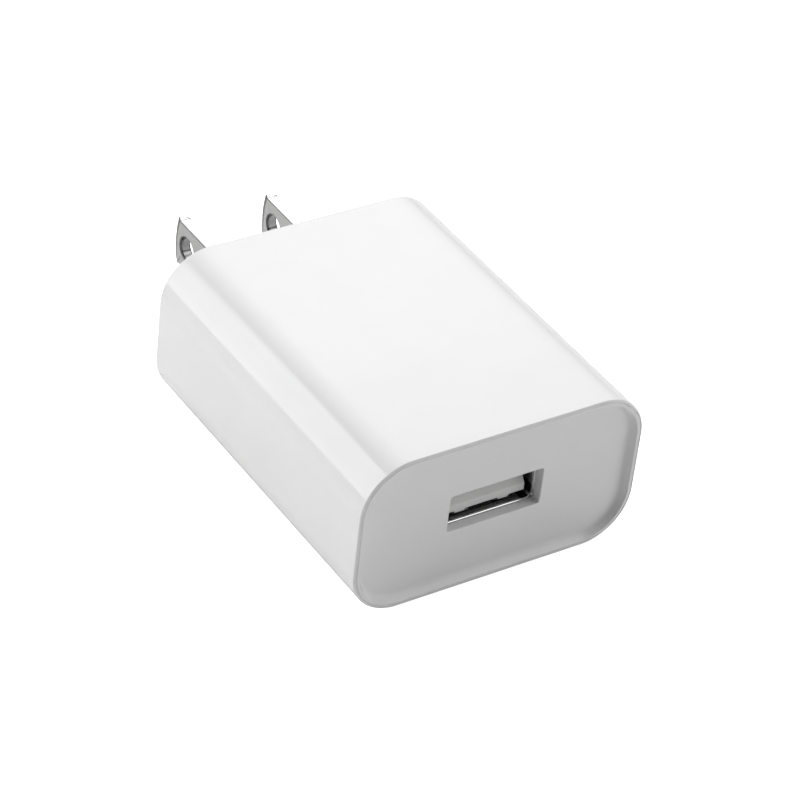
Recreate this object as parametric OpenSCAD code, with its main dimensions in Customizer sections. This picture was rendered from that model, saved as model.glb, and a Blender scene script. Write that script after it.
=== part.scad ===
// USB wall charger: a moulded case with a welded rear cover, two fixed flat blades,
// a USB-A receptacle and a small switching supply on one circuit board.
// +Y points at the wall outlet, +Z is up. The origin is on the outlet face,
// midway between the blades.

/* [Case] */
// Width of the case
case_w = 39.0; // [38.8:0.1:39.4]
// Height of the case
case_h = 21.3; // [21.2:0.1:21.6]
// Depth of the case, from the front rim to the outlet face
case_d = 46.6; // [46.4:0.1:47.2]
// Radius of the four long edges
edge_r = 6.6; // [6.2:0.1:6.8]
// Thickness of the side walls
wall_t = 1.6; // [1.5:0.05:1.6]
// Height of the case's middle above the blades' middle
case_rise = 1.0; // [0.9:0.1:1.1]
// Chamfer around the front outer edge
front_chamfer = 0.22; // [0.2:0.02:0.3]
// Width of the flat rim around the front recess
rim_w = 0.56; // [0.4:0.02:0.6]
// Depth of the front recess
recess_d = 1.05; // [0.8:0.05:1.1]
// Width of the slope from the rim down to the front panel
cove_w = 0.9; // [0.6:0.1:1.1]
// Thickness of the front panel
panel_t = 1.3; // [1.1:0.1:1.4]

/* [Rear cover] */
// Thickness of the rear cover
cover_t = 2.0; // [1.8:0.1:2.2]
// Gap of the seam around the rear cover
seam = 0.1; // [0.05:0.05:0.2]
// Depth of the step that the rear cover sits on
rebate = 0.7; // [0.6:0.05:0.8]
// Length of the rear cover's skirt inside the case
skirt_l = 3.0; // [2.5:0.1:3.0]

/* [Blades] */
// Distance between the middles of the blades
blade_pitch = 12.7; // [12.7]
// Thickness of a blade
blade_t = 1.5; // [1.4:0.05:1.6]
// Height of a blade
blade_h = 6.3; // [6.2:0.05:6.4]
// Length of a blade outside the case
blade_out = 18.2; // [17.8:0.1:18.4]
// Radius of the hole near a blade's tip
blade_hole_r = 1.65; // [1.5:0.05:1.7]
// Distance from a blade's tip to the middle of its hole
blade_hole_back = 3.4; // [3.2:0.1:3.6]
// Rise of the shallow curve across a blade's tip
tip_rise = 0.4; // [0.3:0.05:0.5]
// Depth of the two bevels at a blade's tip
tip_bevel = 0.35; // [0.2:0.05:0.4]
// Length of the two bevels at a blade's tip
tip_bevel_l = 1.0; // [0.7:0.1:1.0]

/* [USB receptacle] */
// Width of the opening in the front panel
port_w = 12.9; // [12.8:0.1:13.0]
// Height of the opening in the front panel
port_h = 5.2; // [5.2:0.05:5.3]
// Distance of the port's middle below the middle of the case
port_drop = 0.1; // [0:0.05:0.2]
// Inside width of the steel shell
usb_w = 12.5; // [12.5]
// Inside height of the steel shell
usb_h = 5.12; // [5.12]
// Sheet thickness of the steel shell
usb_sheet = 0.3; // [0.3]
// Length of the steel shell
usb_l = 13.2; // [13.0:0.1:13.4]
// Width of the tongue
tongue_w = 11.1; // [11.0:0.05:11.2]
// Thickness of the tongue
tongue_t = 1.84; // [1.8:0.02:1.9]
// Distance from the shell's front edge back to the tongue's nose
tongue_back = 0.7; // [0.6:0.1:1.0]
// Gap between the tongue's plain side and the shell
tongue_gap = 0.8; // [0.7:0.05:0.8]
// Height that a contact's crest stands above the tongue
contact_proud = 0.35; // [0.3:0.05:0.4]
// Height that a retention spring's crest stands above the shell
spring_proud = 0.4; // [0.3:0.05:0.45]

/* [Circuit board] */
// Width of the circuit board
board_w = 33.6; // [33.4:0.1:33.8]
// Thickness of the circuit board
board_t = 1.2; // [1.0:0.1:1.2]
// Height of the transformer's coil former
former_h = 10.8; // [10.4:0.1:11.0]
// Diameter of the electrolytic capacitors
cap_d = 8.0; // [7.6:0.1:8.2]
// Length of the mains-side capacitors
input_cap_l = 11.8; // [11.4:0.1:12.0]
// Length of the output capacitor
output_cap_l = 11.0; // [10.6:0.1:11.2]

/* [Hidden] */
$fn = 64;
small_fn = 24;
eps = 0.01;

// Case
front_y = -case_d;
panel_y = front_y + recess_d;
panel_back_y = panel_y + panel_t;
inner_w = case_w - 2 * wall_t;
inner_h = case_h - 2 * wall_t;
inner_r = edge_r - wall_t;
roof_z = case_rise + inner_h / 2;
port_corner_r = 0.4;
clear = 0.1;
skirt_t = 1.0;

// USB receptacle; the tongue is on the side away from the board
port_z = case_rise - port_drop;
usb_front_y = panel_back_y + clear;
usb_back_y = usb_front_y + usb_l;
usb_floor_z = port_z - usb_h / 2;
usb_roof_z = port_z + usb_h / 2;
usb_corner_r = 0.5;
block_l = 2.6;
nose_y = usb_front_y + tongue_back;
nose_slope_h = 0.86;
nose_slope_l = 0.62;
tongue_rib_x = [-3.4, 2.65];
tongue_rib_w = 1.4;
tongue_rib_l = 2.0;
tongue_rib_h = 0.3;
tongue_z0 = usb_floor_z + tongue_gap;
tongue_z1 = tongue_z0 + tongue_t;
contact_x = [-3.5, -1.0, 1.0, 3.5];
contact_w = 1.0;
strip_t = 0.2;
groove_w = contact_w + 0.2;
groove_d = 0.9;
root_z = tongue_z1 - 0.55;
root_y = usb_back_y - block_l - 1.6;
crest_y = nose_y + 2.5;
tip_y = nose_y + 1.2;
tail_w = 0.6;
tail_y = usb_back_y - block_l / 2;
shell_tab_y = usb_front_y + 9.6;
shell_tab_w = 1.6;
spring_x = 2.9;
spring_w = 2.4;
spring_root_y = usb_front_y + 1.2;
spring_end_y = spring_root_y + 6.4;
spring_crest_y = spring_end_y - 0.9;

// Board; its component side faces down
board_z = usb_roof_z + usb_sheet;
board_front_y = panel_back_y + 0.3;
board_rear_y = -9.2;
rail_w = 1.9;
rail_t = 1.0;
lead_d = 0.6;
hole_d = 1.0;
tab_slot_w = 0.7;
tab_slot_l = 2.2;
lead_end = -board_t - 1.1;

// Blades and the parts that hold them
boss_l = 3.0;
boss_w = 4.4;
foot_l = 1.4;
foot_h = 9.2;
boss_h = foot_h + 0.6;
blade_in = cover_t + boss_l;
foot_end_y = -blade_in - foot_l;
retainer_t = 1.2;
retainer_w = blade_pitch + 6.6;
retainer_h = foot_h + 0.4;
retainer_r = 1.0;
post_d = 2.4;
post_head_d = 3.8;
post_head_l = 0.6;
mains_w = 2.0;
mains_t = 0.3;
mains_slot_w = mains_w + 0.6;
mains_slot_z = [-3.2, 3.4];

// Power parts, placed on the board
transformer_y = -22.3;
core_w = 13.2;
core_half_l = 6.3;
core_t = 6.0;
core_leg = 1.6;
core_mid = 2.8;
window_l = 4.7;
former_wall = 0.7;
flange_t = 0.8;
former_z = flange_t + former_h / 2;
primary = [4.5, 7.7, 0.05];
primary_out = [6.9, 8.9, 1.0];
secondary = [7.0, 9.0, 1.05];
secondary_out = [8.3, 9.7, 1.4];
tape = [8.4, 9.8, 1.45];
tape_out = [8.7, 10.1, 1.6];
pin_x = [-5.0, -1.7, 1.7, 5.0];
pin_y = transformer_y + core_half_l + 0.1;
pin_y2 = transformer_y - core_half_l - 0.1;
pin_top = 1.6;
cap_x = 12.2;
out_cap_x = -11.9;
cap_z = cap_d / 2 + 0.3;
in_cap_y = -28.2;
out_cap_y = usb_front_y + 1.6 + output_cap_l;
cap_pitch = 3.5;
in_cap_reach = 0.9;
out_cap_reach = 0.7;
can_wall = 0.8;
sleeve_t = 0.12;
bung_l = 1.2;
choke_x = 12.0;
choke_y = -12.6;
choke_z = 0.6;
choke_d = 6.2;
choke_h = 8.0;
choke_core_r = 1.4;
choke_flange_t = 1.1;
choke_pitch = 4.0;
res_x = -13.4;
res_y = -12.4;
res_z = 0.8;
res_d = 3.2;
res_l = 7.0;
res_lead_x = -10.2;
bridge_y = -12.0;
bridge_size = [4.8, 4.0, 2.4];
disc_x = 11.5;
disc_y = -35.0;
disc_z = 5.0;
disc_d = 8.0;
disc_t = 3.6;
disc_pitch = 5.0;
chip_at = [-4.0, -22.3];
chip_size = [3.9, 4.9, 1.4];
diode_at = [0, -38.0];
diode_size = [4.4, 3.6, 2.2];
chip_l = 2.0;
chip_w = 1.25;
chip_t = 0.5;
chip_end_l = 0.35;
resistor_at = [[3.2, -19.4], [6.2, -19.4], [3.2, -21.8], [6.2, -21.8], [-10, -20], [-10, -22.4]];
chip_cap_at = [[3.2, -24.2], [6.2, -24.2], [-10, -24.8], [3.0, -34.4]];

// Every round lead's place on the board
transformer_leads = [for (x = pin_x, y = [pin_y, pin_y2]) [x, y]];
capacitor_lead_at = [for (s = [-1, 1]) each [
    [-cap_x + s * cap_pitch / 2, in_cap_y - in_cap_reach],
    [cap_x + s * cap_pitch / 2, in_cap_y - in_cap_reach],
    [out_cap_x + s * cap_pitch / 2, out_cap_y - output_cap_l - out_cap_reach]]];
choke_leads = [for (s = [-1, 1]) [choke_x + s * choke_pitch / 2, choke_y]];
resistor_lead_at = [[res_x, res_y], [res_lead_x, res_y]];
disc_leads = [for (s = [-1, 1]) [disc_x, disc_y + s * disc_pitch / 2]];
tail_at = [for (x = contact_x) [x, tail_y]];
round_leads = concat(transformer_leads, capacitor_lead_at, choke_leads, resistor_lead_at,
    disc_leads, tail_at);

// ---------- shared shapes ----------

// A rounded rectangle made of squares and true arcs
module rounded(w, h, r) {
    square([w - 2 * r, h], center = true);
    square([w, h - 2 * r], center = true);
    for (sx = [-1, 1], sy = [-1, 1])
        translate([sx * (w / 2 - r), sy * (h / 2 - r)]) circle(r);
}

// Extrudes an outline drawn in X and Z from y0 to y1
module along_y(y0, y1) {
    translate([0, y1, 0]) rotate([90, 0, 0]) linear_extrude(y1 - y0) children();
}

// Extrudes an outline drawn in Y and Z by w, centred on x
module along_x(x, w) {
    translate([x - w / 2, 0, 0]) rotate([90, 0, 90]) linear_extrude(w) children();
}

// A rounded block along Y that shrinks by inset on every side from y0 to y1
module tapered(w, h, r, inset, y0, y1) {
    l = y1 - y0;
    side = [[w / 2, y0], [w / 2 - inset, y1], [inset - w / 2, y1], [-w / 2, y0]];
    top = [[y0, h / 2], [y1, h / 2 - inset], [y1, inset - h / 2], [y0, -h / 2]];
    translate([0, 0, r - h / 2]) linear_extrude(h - 2 * r) polygon(side);
    along_x(0, w - 2 * r) polygon(top);
    for (sx = [-1, 1], sz = [-1, 1])
        translate([sx * (w / 2 - r), y0, sz * (h / 2 - r)])
            rotate([-90, 0, 0]) cylinder(h = l, r1 = r, r2 = r - inset);
}

// A bent strip of sheet, drawn in Y and Z with round bends
module strip(points, t) {
    for (i = [0 : len(points) - 2]) {
        step = points[i + 1] - points[i];
        translate(points[i]) rotate(atan2(step.y, step.x))
            translate([0, -t / 2]) square([norm(step), t]);
    }
    for (p = points) translate(p) circle(d = t);
}

// A round wire through points, with round bends
module wire(points, d) {
    for (i = [0 : len(points) - 2]) {
        step = points[i + 1] - points[i];
        translate(points[i]) rotate([0, acos(step.z / norm(step)), atan2(step.y, step.x)])
            cylinder(h = norm(step), d = d);
    }
    for (i = [1 : 1 : len(points) - 2]) translate(points[i]) sphere(d = d);
}

// Places what is built on the board's component side, z up from the board
module on_board() {
    translate([0, 0, board_z]) mirror([0, 0, 1]) children();
}

// ---------- case ----------

// A rail along the board's edge, sunk a little into the side wall
module rail(s, z) {
    sink = 0.4;
    rear_gap = 2;
    translate([s > 0 ? inner_w / 2 - rail_w : -inner_w / 2 - sink, board_front_y, z])
        cube([rail_w + sink, board_rear_y - rear_gap - board_front_y, rail_t]);
}

module front_shell() {
    color("white") {
        difference() {
            translate([0, 0, case_rise]) {
                along_y(front_y + front_chamfer, 0) rounded(case_w, case_h, edge_r);
                mirror([0, 1, 0])
                    tapered(case_w, case_h, edge_r, front_chamfer,
                        -front_y - front_chamfer, -front_y);
            }
            translate([0, 0, case_rise]) {
                along_y(panel_back_y, 1) rounded(inner_w, inner_h, inner_r);
                along_y(-cover_t, 1) rounded(inner_w + 2 * rebate, inner_h + 2 * rebate,
                    inner_r + rebate);
                tapered(case_w - 2 * (front_chamfer + rim_w), case_h - 2 * (front_chamfer + rim_w),
                    edge_r - front_chamfer - rim_w, cove_w, front_y, panel_y);
                along_y(front_y - 1, front_y) square([case_w, case_h], center = true);
            }
            translate([0, 0, port_z])
                along_y(front_y, panel_back_y + 1) rounded(port_w, port_h, port_corner_r);
        }
        for (s = [-1, 1], z = [board_z - clear - rail_t, board_z + board_t + clear]) rail(s, z);
    }
}

module blade_slot(x) {
    translate([x, 0, 0]) along_y(-blade_in - 1, 1) square([blade_t, blade_h], center = true);
}

module rear_cover() {
    outer_w = inner_w + 2 * (rebate - seam);
    outer_h = inner_h + 2 * (rebate - seam);
    skirt_w = inner_w - 2 * seam;
    skirt_h = inner_h - 2 * seam;
    skirt_r = inner_r - seam;
    post_end_y = foot_end_y - retainer_t;
    color("white") difference() {
        union() {
            translate([0, 0, case_rise]) {
                along_y(-cover_t, 0) rounded(outer_w, outer_h, inner_r + rebate - seam);
                difference() {
                    along_y(-cover_t - skirt_l, -cover_t) rounded(skirt_w, skirt_h, skirt_r);
                    along_y(-cover_t - skirt_l - 1, -cover_t)
                        rounded(skirt_w - 2 * skirt_t, skirt_h - 2 * skirt_t, skirt_r - skirt_t);
                }
            }
            for (s = [-1, 1]) translate([s * blade_pitch / 2, 0, 0])
                along_y(-blade_in, -cover_t) square([boss_w, boss_h], center = true);
            translate([0, post_end_y, 0]) rotate([-90, 0, 0])
                cylinder(h = -cover_t - post_end_y, d = post_d);
            translate([0, post_end_y - post_head_l, 0]) rotate([-90, 0, 0])
                cylinder(h = post_head_l, d1 = post_d, d2 = post_head_d);
        }
        for (s = [-1, 1]) blade_slot(s * blade_pitch / 2);
    }
}

// ---------- mains side ----------

module blade(x) {
    tip_r = (pow(blade_h / 2, 2) + pow(tip_rise, 2)) / (2 * tip_rise);
    reach = 1;
    color("silver") translate([x, 0, 0]) difference() {
        union() {
            intersection() {
                translate([-blade_t / 2, -blade_in, -blade_h / 2])
                    cube([blade_t, blade_in + blade_out, blade_h]);
                translate([-blade_t, blade_out - tip_r, 0]) rotate([0, 90, 0])
                    cylinder(h = 2 * blade_t, r = tip_r, $fn = 96);
            }
            translate([-blade_t / 2, -blade_in, -blade_h / 2])
                cube([blade_t, blade_in + reach, blade_h]);
            translate([-blade_t / 2, foot_end_y, -foot_h / 2]) cube([blade_t, foot_l, foot_h]);
        }
        translate([-blade_t, blade_out - blade_hole_back, 0]) rotate([0, 90, 0])
            cylinder(h = 2 * blade_t, r = blade_hole_r);
        for (s = [-1, 1])
            translate([s * blade_t / 2, blade_out, -blade_h]) linear_extrude(2 * blade_h)
                polygon([[0, -tip_bevel_l], [s * reach, -tip_bevel_l], [s * reach, reach],
                    [-s * tip_bevel * (1 + reach / tip_bevel_l), reach]]);
    }
}

module blade_left() blade(-blade_pitch / 2);
module blade_right() blade(blade_pitch / 2);

module blade_retainer() {
    color("ivory") difference() {
        along_y(foot_end_y - retainer_t, foot_end_y)
            rounded(retainer_w, retainer_h, retainer_r);
        along_y(foot_end_y - retainer_t - 1, foot_end_y + 1) circle(d = post_d + 2 * clear);
        for (s = [-1, 1]) translate([s * blade_pitch / 2, 0, 0])
            along_y(foot_end_y - retainer_t - 1, foot_end_y + 1)
                translate([-mains_slot_w / 2, mains_slot_z[0]])
                    square([mains_slot_w, mains_slot_z[1] - mains_slot_z[0]]);
    }
}

// A strip that presses on a blade's foot, bends back and lies against the board
module mains_spring(x) {
    touch_y = foot_end_y - mains_t / 2;
    touch_z = [-2.4, 1.6];
    knee = [touch_y - 1.6, 0.2];
    pad_y = [-10.6, -12.0];
    pad_z = board_z - mains_t / 2;
    color("gold") along_x(x, mains_w)
        strip([[touch_y, touch_z[0]], [touch_y, touch_z[1]], knee, [pad_y[0], pad_z],
            [pad_y[1], pad_z]], mains_t);
}

module mains_spring_left() mains_spring(-blade_pitch / 2);
module mains_spring_right() mains_spring(blade_pitch / 2);

// ---------- circuit board ----------

module circuit_board() {
    color("darkgreen") on_board() difference() {
        translate([-board_w / 2, board_front_y, -board_t])
            cube([board_w, board_rear_y - board_front_y, board_t]);
        for (p = round_leads) translate([p.x, p.y, -board_t - 1])
            cylinder(h = board_t + 2, d = hole_d, $fn = small_fn);
        for (s = [-1, 1])
            translate([s * (usb_w + usb_sheet) / 2 - tab_slot_w / 2, shell_tab_y - tab_slot_l / 2,
                    -board_t - 1])
                cube([tab_slot_w, tab_slot_l, board_t + 2]);
    }
}

module solder_joints() {
    cone_h = 0.7;
    foot_r = 0.85;
    waist_r = 0.5;
    top_r = lead_d / 2 + 0.06;
    color("lightgray") on_board() for (p = round_leads)
        translate([p.x, p.y, -board_t]) rotate_extrude($fn = small_fn)
            polygon([[top_r, 0], [foot_r, 0], [waist_r, -cone_h / 2], [top_r, -cone_h]]);
}

// ---------- parts on the board ----------

// An aluminium can lying on its side, its open end crimped around the bung
module capacitor(x, y1, l) {
    round_r = 0.3;
    crimp = 0.4;
    r = cap_d / 2;
    color("lightgray") on_board() translate([x, y1, cap_z]) rotate([90, 0, 0])
        rotate_extrude() polygon([[0, 0], [r - round_r, 0], [r, round_r], [r, l - crimp],
            [r - crimp, l], [r - can_wall, l], [r - can_wall, l - bung_l], [0, l - bung_l]]);
}

module input_capacitor_left() capacitor(-cap_x, in_cap_y + input_cap_l, input_cap_l);
module input_capacitor_right() capacitor(cap_x, in_cap_y + input_cap_l, input_cap_l);
module output_capacitor() capacitor(out_cap_x, out_cap_y, output_cap_l);

module for_each_capacitor() {
    for (c = [[-cap_x, in_cap_y, input_cap_l], [cap_x, in_cap_y, input_cap_l],
            [out_cap_x, out_cap_y - output_cap_l, output_cap_l]]) {
        $cap_l = c[2];
        translate([c[0], c[1], cap_z]) children();
    }
}

module capacitor_sleeves() {
    bare_l = [0.5, 0.4];
    color("midnightblue") on_board() for_each_capacitor()
        translate([0, bare_l[0], 0]) rotate([-90, 0, 0]) difference() {
            cylinder(h = $cap_l - bare_l[0] - bare_l[1], d = cap_d + 2 * sleeve_t);
            translate([0, 0, -1]) cylinder(h = $cap_l + 2, d = cap_d);
        }
}

module capacitor_bungs() {
    sunk = 0.05;
    color("dimgray") on_board() for_each_capacitor()
        rotate([-90, 0, 0]) difference() {
            translate([0, 0, sunk]) cylinder(h = bung_l - sunk, d = cap_d - 2 * can_wall);
            for (s = [-1, 1]) translate([s * cap_pitch / 2, 0, -1])
                cylinder(h = bung_l + 2, d = lead_d, $fn = small_fn);
        }
}

module capacitor_leads() {
    reach = [in_cap_reach, in_cap_reach, out_cap_reach];
    starts = [[-cap_x, in_cap_y], [cap_x, in_cap_y], [out_cap_x, out_cap_y - output_cap_l]];
    color("silver") on_board() for (i = [0 : 2], s = [-1, 1]) {
        x = starts[i].x + s * cap_pitch / 2;
        y = starts[i].y;
        wire([[x, y + bung_l, cap_z], [x, y - reach[i], cap_z], [x, y - reach[i], lead_end]],
            lead_d, $fn = small_fn);
    }
}

// A bobbin: two flanges on a thin core
module choke_core() {
    r = choke_d / 2;
    z = [choke_flange_t, choke_h - choke_flange_t];
    color("dimgray") on_board() translate([choke_x, choke_y, choke_z]) rotate_extrude()
        polygon([[0, 0], [r, 0], [r, z[0]], [choke_core_r, z[0]], [choke_core_r, z[1]],
            [r, z[1]], [r, choke_h], [0, choke_h]]);
}

module choke_winding() {
    gap = 0.05;
    z = [choke_flange_t + gap, choke_h - choke_flange_t - gap];
    r = choke_d / 2 - 0.4;
    color("chocolate") on_board() {
        translate([choke_x, choke_y, choke_z]) rotate_extrude()
            polygon([[choke_core_r, z[0]], [r, z[0]], [r, z[1]], [choke_core_r, z[1]]]);
        for (p = choke_leads) translate([p.x, p.y, lead_end])
            cylinder(h = choke_z - lead_end, d = lead_d, $fn = small_fn);
    }
}

module choke_sleeve() {
    bare = 0.4;
    color("black") on_board() translate([choke_x, choke_y, choke_z + bare]) difference() {
        cylinder(h = choke_h - 2 * bare, d = choke_d + 2 * sleeve_t);
        translate([0, 0, -1]) cylinder(h = choke_h + 2, d = choke_d);
    }
}

// A standing resistor with a fat cap at each end
module fusible_resistor() {
    corner = [0.2, 0.3];
    cap_l = 1.1;
    slope_l = 0.4;
    r = res_d / 2;
    waist_r = r - 0.25;
    half = [[0, 0], [r - corner[0], 0], [r, corner[1]], [r, cap_l], [waist_r, cap_l + slope_l]];
    other = [for (i = [len(half) - 1 : -1 : 0]) [half[i].x, res_l - half[i].y]];
    color("seagreen") on_board() translate([res_x, res_y, res_z]) rotate_extrude()
        polygon(concat(half, other));
}

module resistor_leads() {
    top_z = res_z + res_l;
    bend_z = top_z + 0.9;
    color("silver") on_board() {
        translate([res_x, res_y, lead_end])
            cylinder(h = res_z - lead_end, d = lead_d, $fn = small_fn);
        wire([[res_x, res_y, top_z], [res_x, res_y, bend_z], [res_lead_x, res_y, bend_z],
            [res_lead_x, res_y, lead_end]], lead_d, $fn = small_fn);
    }
}

module resistor_sleeve() {
    bare = 0.5;
    color("black") on_board() translate([res_x, res_y, res_z + bare]) difference() {
        cylinder(h = res_l - 2 * bare, d = res_d + 2 * sleeve_t);
        translate([0, 0, -1]) cylinder(h = res_l + 2, d = res_d);
    }
}

module bridge_rectifier() {
    lift = 0.2;
    color([0.1, 0.1, 0.1]) on_board()
        translate([-bridge_size.x / 2, bridge_y - bridge_size.y / 2, lift]) cube(bridge_size);
}

module bridge_leads() {
    lead = [1.4, 0.7, 0.2];
    out = 3.1;
    pitch = 2.54;
    color("silver") on_board() for (sx = [-1, 1], sy = [-1, 1])
        translate([sx * out - lead.x / 2, bridge_y + sy * pitch / 2 - lead.y / 2, 0]) cube(lead);
}

// One half of the transformer's core: a back and three legs
module core_half(s) {
    outer_gap = 0.02;
    middle_gap = 0.1;
    color([0.18, 0.18, 0.2]) on_board() translate([0, transformer_y, former_z - core_t / 2]) {
        mirror([0, s < 0 ? 1 : 0, 0]) {
            translate([-core_w / 2, window_l, 0])
                cube([core_w, core_half_l - window_l, core_t]);
            for (x = [-core_w / 2, core_w / 2 - core_leg])
                translate([x, outer_gap, 0]) cube([core_leg, window_l, core_t]);
            translate([-core_mid / 2, middle_gap, 0]) cube([core_mid, window_l, core_t]);
        }
    }
}

module transformer_core_front() core_half(-1);
module transformer_core_rear() core_half(1);

// A square tube with two flanges, on two feet that carry the pins
module transformer_former() {
    bore_w = core_mid + 0.2;
    bore_h = core_t + 0.2;
    flange_w = core_w - 2 * core_leg - 0.4;
    flange_y = window_l - 0.15;
    foot_w = 3.2;
    color("ivory") on_board() translate([0, transformer_y, former_z]) {
        difference() {
            union() {
                along_y(-flange_y, flange_y)
                    square([bore_w + 2 * former_wall, bore_h + 2 * former_wall], center = true);
                for (s = [-1, 1]) translate([0, s * (flange_y - flange_t / 2), 0])
                    along_y(-flange_t / 2, flange_t / 2) square([flange_w, former_h], center = true);
                for (s = [-1, 1])
                    translate([0, s * (flange_y - flange_t + foot_w / 2), -former_z])
                        translate([-core_w / 2, -foot_w / 2, 0])
                            cube([core_w, foot_w, former_z - core_t / 2 - clear]);
            }
            along_y(-core_half_l, core_half_l) square([bore_w, bore_h], center = true);
            for (x = pin_x, y = [pin_y, pin_y2])
                translate([x, y - transformer_y, -former_z - 1])
                    cylinder(h = 1 + pin_top, d = lead_d, $fn = small_fn);
        }
    }
}

// A layer wound around the former, between an inner and an outer [width, height, radius]
module winding(inner, outer) {
    half_l = window_l - 1.1;
    on_board() translate([0, transformer_y, former_z]) difference() {
        along_y(-half_l, half_l) rounded(outer[0], outer[1], outer[2]);
        along_y(-window_l, window_l) rounded(inner[0], inner[1], inner[2]);
    }
}

module primary_winding() {
    color("chocolate") winding(primary, primary_out);
}

module secondary_winding() {
    color("orange") winding(secondary, secondary_out);
}

module winding_tape() {
    color("yellow") winding(tape, tape_out);
}

module transformer_pins() {
    color("silver") on_board() for (p = transformer_leads)
        translate([p.x, p.y, lead_end])
            cylinder(h = pin_top - 0.1 - lead_end, d = lead_d, $fn = small_fn);
}

// A dipped disc standing on edge, thickest in its middle
module safety_capacitor() {
    r = disc_d / 2;
    face = [[0, 0], [r - 1.2, 0.2], [r - 0.3, 0.8]];
    other = [for (i = [len(face) - 1 : -1 : 0]) [face[i].x, disc_t - face[i].y]];
    color("royalblue") on_board() translate([disc_x - disc_t / 2, disc_y, disc_z])
        rotate([0, 90, 0]) rotate_extrude()
            polygon(concat(face, [[r, disc_t / 2]], other));
}

module safety_capacitor_leads() {
    gap = 0.4;
    edge_z = disc_z - sqrt(pow(disc_d / 2, 2) - pow(disc_pitch / 2 + lead_d / 2, 2));
    color("silver") on_board() for (p = disc_leads)
        translate([p.x, p.y, lead_end])
            cylinder(h = edge_z - gap - lead_end, d = lead_d, $fn = small_fn);
}

// Parts on the board's far side, z up from that side
module under_board() {
    translate([0, 0, board_z + board_t]) children();
}

// A block that stands over its leads, centred on a place
module chip_block(at, size, lift) {
    under_board() translate([at.x - size.x / 2, at.y - size.y / 2, lift]) cube(size);
}

module controller_chip() {
    color([0.12, 0.12, 0.12]) chip_block(chip_at, chip_size, 0.15);
}

module controller_leads() {
    lead = [1.0, 0.4, 0.15];
    out = 2.5;
    pitch = 1.27;
    color("silver") for (s = [-1, 1], i = [-1.5 : 1 : 1.5])
        chip_block([chip_at.x + s * out, chip_at.y + i * pitch], lead, 0);
}

module output_diode() {
    color([0.1, 0.1, 0.1]) chip_block(diode_at, diode_size, 0.1);
}

module diode_leads() {
    lead = [1.2, 2.0, 0.1];
    out = 2.3;
    color("silver") for (s = [-1, 1]) chip_block([diode_at.x + s * out, diode_at.y], lead, 0);
}

module chip_bodies(places) {
    under_board() for (p = places)
        translate([p.x - chip_l / 2 + chip_end_l, p.y - chip_w / 2, 0])
            cube([chip_l - 2 * chip_end_l, chip_w, chip_t]);
}

module chip_resistors() {
    color([0.08, 0.08, 0.1]) chip_bodies(resistor_at);
}

module chip_capacitors() {
    color("tan") chip_bodies(chip_cap_at);
}

module chip_ends() {
    color("lightgray") under_board() for (p = concat(resistor_at, chip_cap_at), s = [-1, 1])
        translate([p.x + s * (chip_l - chip_end_l) / 2 - chip_end_l / 2, p.y - chip_w / 2, 0])
            cube([chip_end_l, chip_w, chip_t]);
}

module insulation_sheet() {
    sheet_w = 24;
    sheet_t = 0.3;
    color("whitesmoke") translate([-sheet_w / 2, board_front_y + 1, roof_z - sheet_t])
        cube([sheet_w, board_rear_y - board_front_y - 2, sheet_t]);
}

// ---------- USB receptacle ----------

module usb_shell() {
    outer_w = usb_w + 2 * usb_sheet;
    outer_h = usb_h + 2 * usb_sheet;
    tab_h = board_z - port_z + board_t + 0.8;
    slot_gap = 0.2;
    tail_slot_x = contact_x[3] + contact_w;
    lip_l = 0.3;
    lip_sink = 0.15;
    lip_out = 0.2;
    color("silver") {
        difference() {
            union() {
                translate([0, 0, port_z])
                    along_y(usb_front_y, usb_back_y) rounded(outer_w, outer_h, usb_corner_r + usb_sheet);
                for (s = [-1, 1])
                    translate([s * (usb_w + usb_sheet) / 2 - usb_sheet / 2,
                            shell_tab_y - shell_tab_w / 2, port_z])
                        cube([usb_sheet, shell_tab_w, tab_h]);
            }
            translate([0, 0, port_z])
                along_y(usb_front_y - 1, usb_back_y + 1) rounded(usb_w, usb_h, usb_corner_r);
            for (s = [-1, 1])
                translate([s * spring_x - spring_w / 2 - slot_gap, spring_root_y - slot_gap,
                        usb_floor_z - 1])
                    cube([spring_w + 2 * slot_gap, spring_end_y - spring_root_y + 2.5 * slot_gap, 1.5]);
            translate([-tail_slot_x, tail_y - 0.5, usb_roof_z - 0.5])
                cube([2 * tail_slot_x, usb_l, 2 * usb_sheet + 1]);
        }
        // the turned-out lip at the mouth, on the long side away from the board
        translate([-usb_w / 2 + usb_corner_r, usb_front_y, usb_floor_z - usb_sheet - lip_out])
            cube([usb_w - 2 * usb_corner_r, lip_l, lip_out + lip_sink]);
    }
}

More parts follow.
